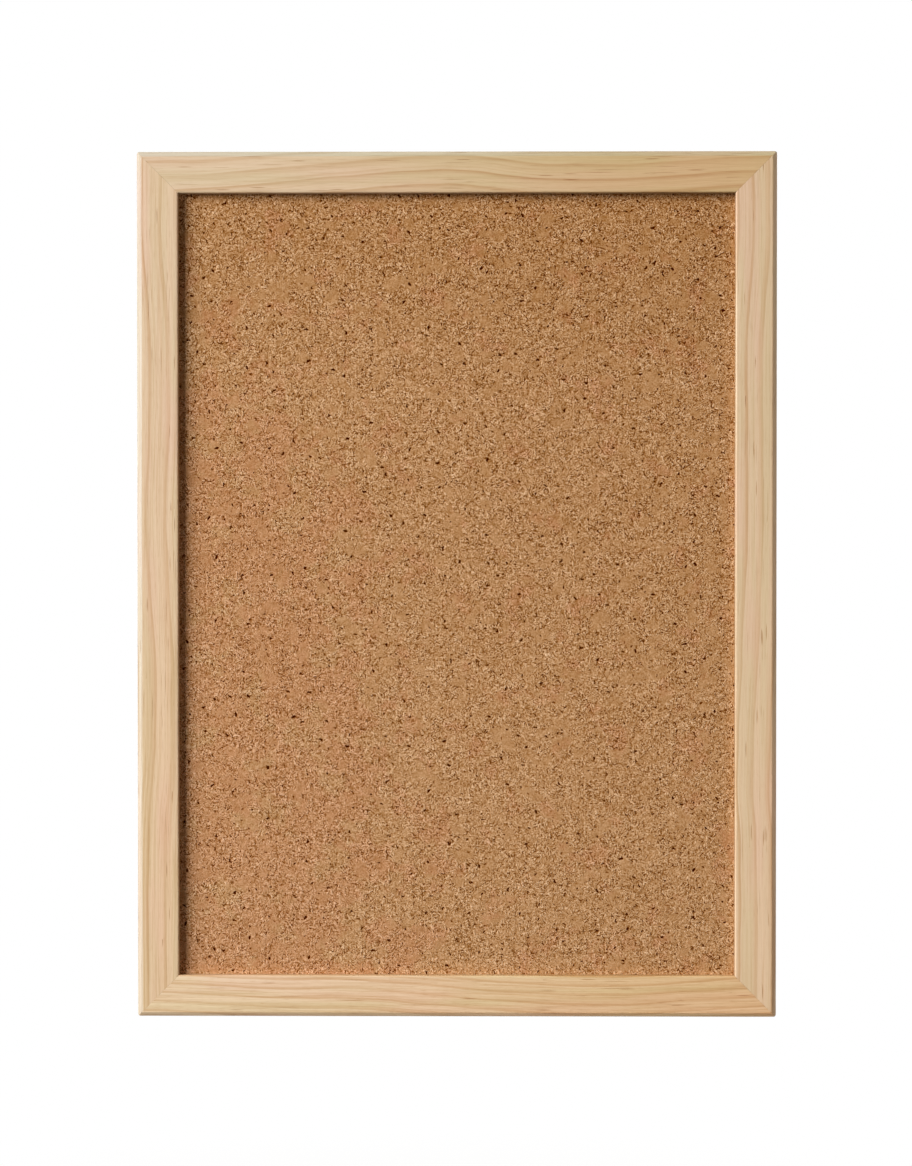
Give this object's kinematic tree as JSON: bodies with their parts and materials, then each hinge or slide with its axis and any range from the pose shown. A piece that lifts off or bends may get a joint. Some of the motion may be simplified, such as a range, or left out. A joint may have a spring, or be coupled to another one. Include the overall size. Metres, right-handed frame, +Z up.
{
  "type": "cork board",
  "caption": "Portrait cork pin board: cork sheet on a softboard core and hardboard back, in a mitred pine frame with sawtooth hangers and felt wall pads.",
  "frame": {"origin": "middle of the board on the wall plane, where the backs of the four felt pads bear", "axes": "+Z up along the long side, +X to the right as seen from the front, +Y into the wall, so the cork faces -Y"},
  "size_m": [0.3, 0.0207, 0.406],
  "materials": {
    "pine": "pale pine moulding, sanded, clear satin",
    "cork": "agglomerated cork, matt",
    "softboard": "soft wood-fibre board, matt",
    "hardboard": "pressed hardboard, its meshed side outwards",
    "zinc": "zinc-plated sheet steel and wire",
    "steel": "oiled spring steel",
    "felt": "pressed wool felt"
  },
  "bodies": {
    "root": {"top_rail": "pine", "bottom_rail": "pine", "left_stile": "pine", "right_stile": "pine", "cork_sheet": "cork", "softboard_core": "softboard", "hardboard_back": "hardboard", "v_nail_top_left_1": "steel", "v_nail_top_left_2": "steel", "v_nail_top_right_1": "steel", "v_nail_top_right_2": "steel", "v_nail_bottom_left_1": "steel", "v_nail_bottom_left_2": "steel", "v_nail_bottom_right_1": "steel", "v_nail_bottom_right_2": "steel", "panel_tab_top_rail_1": "steel", "panel_tab_top_rail_2": "steel", "panel_tab_bottom_rail_1": "steel", "panel_tab_bottom_rail_2": "steel", "panel_tab_left_stile_1": "steel", "panel_tab_left_stile_2": "steel", "panel_tab_left_stile_3": "steel", "panel_tab_right_stile_1": "steel", "panel_tab_right_stile_2": "steel", "panel_tab_right_stile_3": "steel", "sawtooth_hanger_left": "zinc", "sawtooth_hanger_right": "zinc", "hanger_nail_left_1": "zinc", "hanger_nail_left_2": "zinc", "hanger_nail_right_1": "zinc", "hanger_nail_right_2": "zinc", "wall_pad_top_left": "felt", "wall_pad_top_right": "felt", "wall_pad_bottom_left": "felt", "wall_pad_bottom_right": "felt"}
  },
  "joints": []
}
